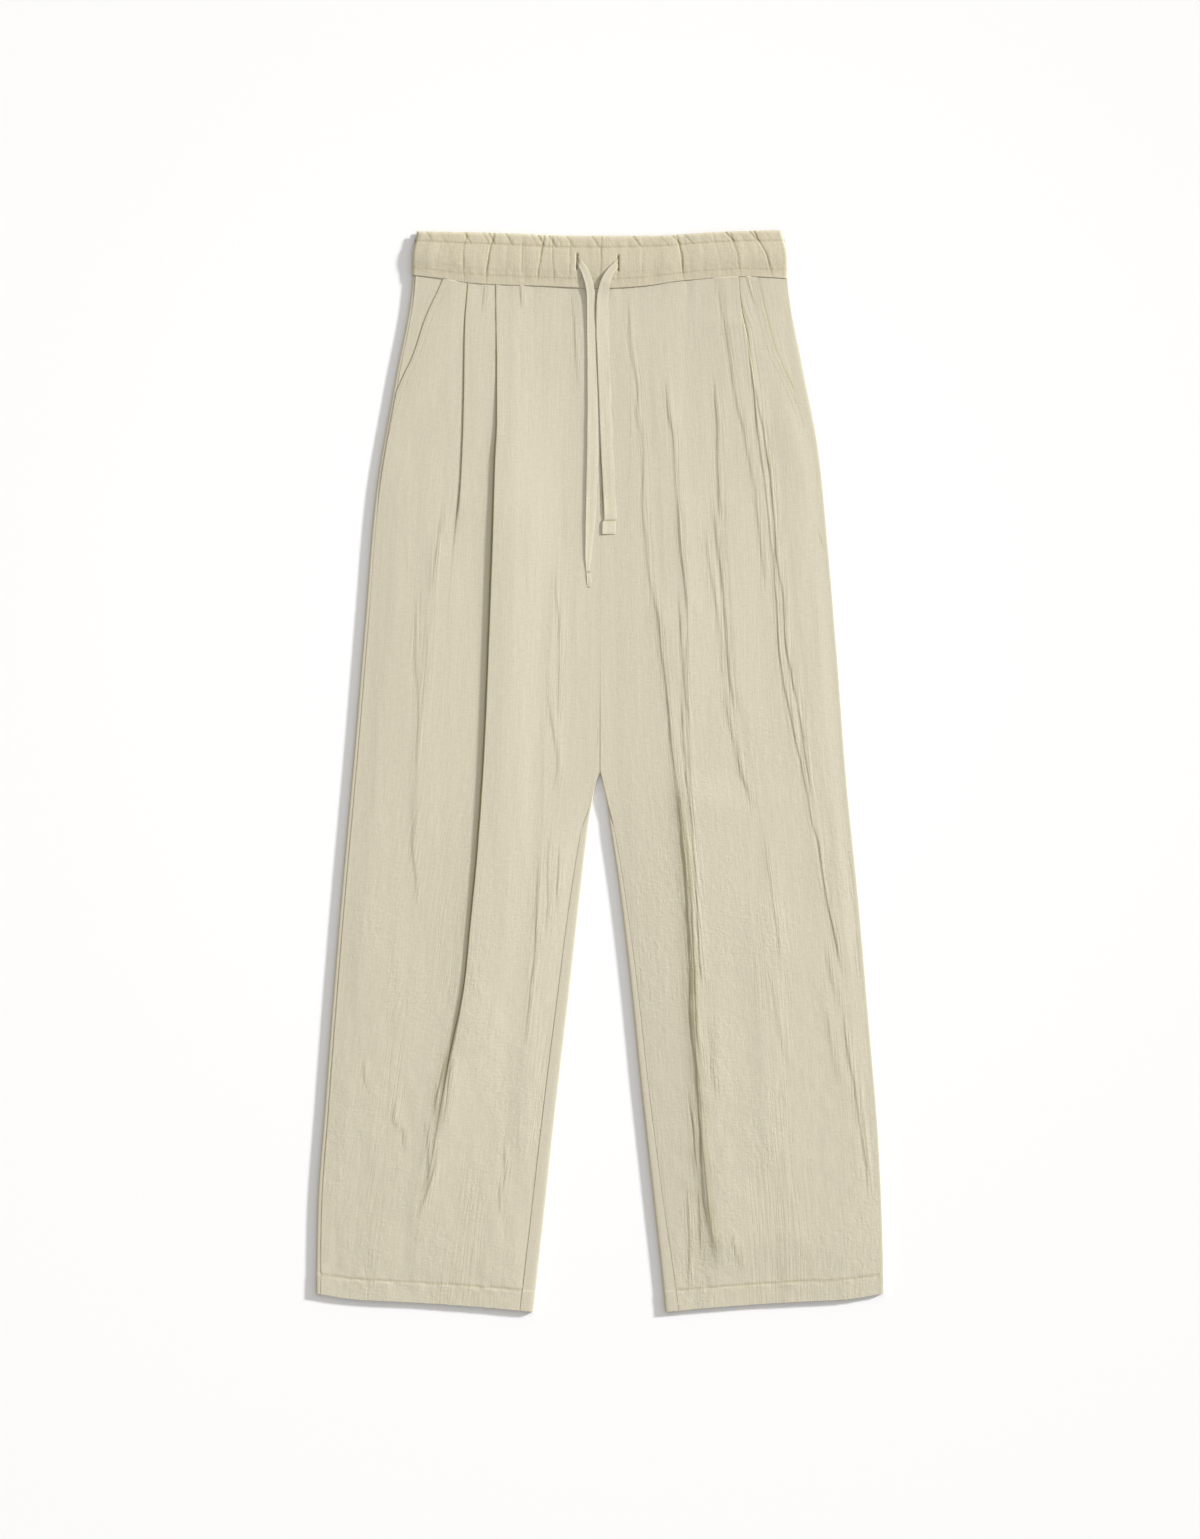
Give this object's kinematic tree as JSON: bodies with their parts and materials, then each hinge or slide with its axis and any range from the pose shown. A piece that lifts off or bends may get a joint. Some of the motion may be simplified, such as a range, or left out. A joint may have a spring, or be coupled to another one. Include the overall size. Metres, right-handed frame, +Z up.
{
  "type": "wide-leg drawstring trousers laid flat",
  "caption": "Loose pull-on trousers in light crinkled cloth, laid flat, with pleated fronts, slanted pockets, elastic waistband and a flat drawstring.",
  "frame": {"origin": "bottom centre of the bounding box, on the surface that the trousers lie on", "axes": "+X to the right as the front is seen, +Y from hem to waist, +Z up, out of the front"},
  "size_m": [0.569, 1.082, 0.0109],
  "materials": {
    "leg_cloth": "light crinkled plain weave with a soft dull sheen, sand colour",
    "waistband_cloth": "the same cloth, gathered on elastic",
    "tape_cloth": "the same cloth, sewn into a flat tape"
  },
  "bodies": {
    "root": {"front_left": "leg_cloth", "front_right": "leg_cloth", "back_left": "leg_cloth", "back_right": "leg_cloth", "pocket_facing_left": "leg_cloth", "pocket_facing_right": "leg_cloth", "waistband_front": "waistband_cloth", "waistband_back": "waistband_cloth", "drawstring_left": "tape_cloth", "drawstring_right": "tape_cloth"}
  },
  "joints": []
}
